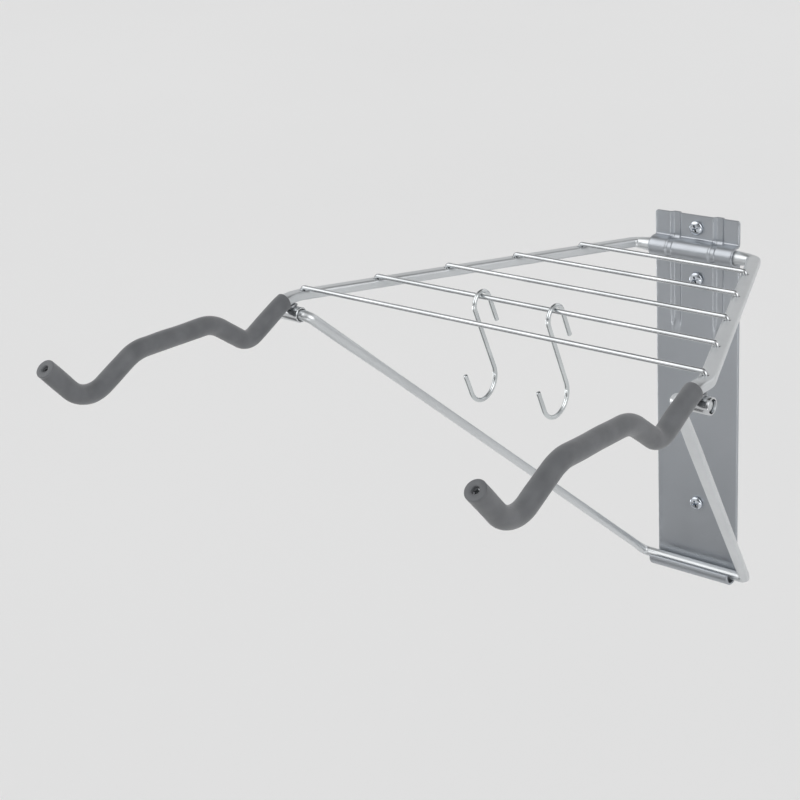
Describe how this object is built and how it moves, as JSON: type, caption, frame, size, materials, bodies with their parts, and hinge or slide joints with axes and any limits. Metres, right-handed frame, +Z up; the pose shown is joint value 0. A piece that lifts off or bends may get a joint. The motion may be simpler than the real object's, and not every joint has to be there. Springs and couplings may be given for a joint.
{
  "type": "wall mounted folding rack",
  "caption": "Wall plate with a hinged V of tube that carries a wire shelf and padded cradle arms, a folding prop strut and loose S-hooks.",
  "frame": {"origin": "on the wall plate's back face, at the middle of its width and about half way up it", "axes": "+Y into the wall, +X across to the right as seen facing the wall, +Z up"},
  "size_m": [0.39, 0.6028, 0.3683],
  "materials": {
    "plate": "satin blue-grey powder coat",
    "frame_paint": "satin light silver coat",
    "wire": "bright zinc plate",
    "hook": "bright zinc plate",
    "screw": "bright zinc plate",
    "foam": "matte closed-cell foam sleeve"
  },
  "bodies": {
    "plate": {"wall_plate": "plate", "wall_screw_top": "screw", "wall_screw_middle": "screw", "wall_screw_bottom": "screw"},
    "frame": {"hinge_tube": "frame_paint", "left_arm": "frame_paint", "right_arm": "frame_paint", "left_grip": "foam", "right_grip": "foam", "left_pivot_sleeve": "frame_paint", "right_pivot_sleeve": "frame_paint", "shelf_wire_1": "wire", "shelf_wire_2": "wire", "shelf_wire_3": "wire", "shelf_wire_4": "wire", "shelf_wire_5": "wire"},
    "strut": {"support_strut": "frame_paint"},
    "hook_left": {"s_hook_left": "hook"},
    "hook_right": {"s_hook_right": "hook"}
  },
  "joints": [
    {"name": "frame_hinge", "type": "hinge", "parent": "plate", "child": "frame", "pos_m": [0, -0.0072, 0.1355], "axis": [-1, 0, 0], "range_deg": [0, 75]},
    {"name": "strut_hinge", "type": "hinge", "parent": "frame", "child": "strut", "pos_m": [0, -0.31926, 0.14667], "axis": [-1, 0, 0], "range_deg": [-39.44, 0]},
    {"name": "hook_left_swing", "type": "hinge", "parent": "frame", "child": "hook_left", "pos_m": [-0.05, -0.24561, 0.16016], "axis": [-1, 0, 0], "range_deg": [-60, 60]},
    {"name": "hook_right_swing", "type": "hinge", "parent": "frame", "child": "hook_right", "pos_m": [0.019, -0.24561, 0.16016], "axis": [-1, 0, 0], "range_deg": [-60, 60]}
  ],
  "couplings": [
    {"joint": "strut_hinge", "follows": "frame_hinge", "ratio": -0.5257}
  ]
}
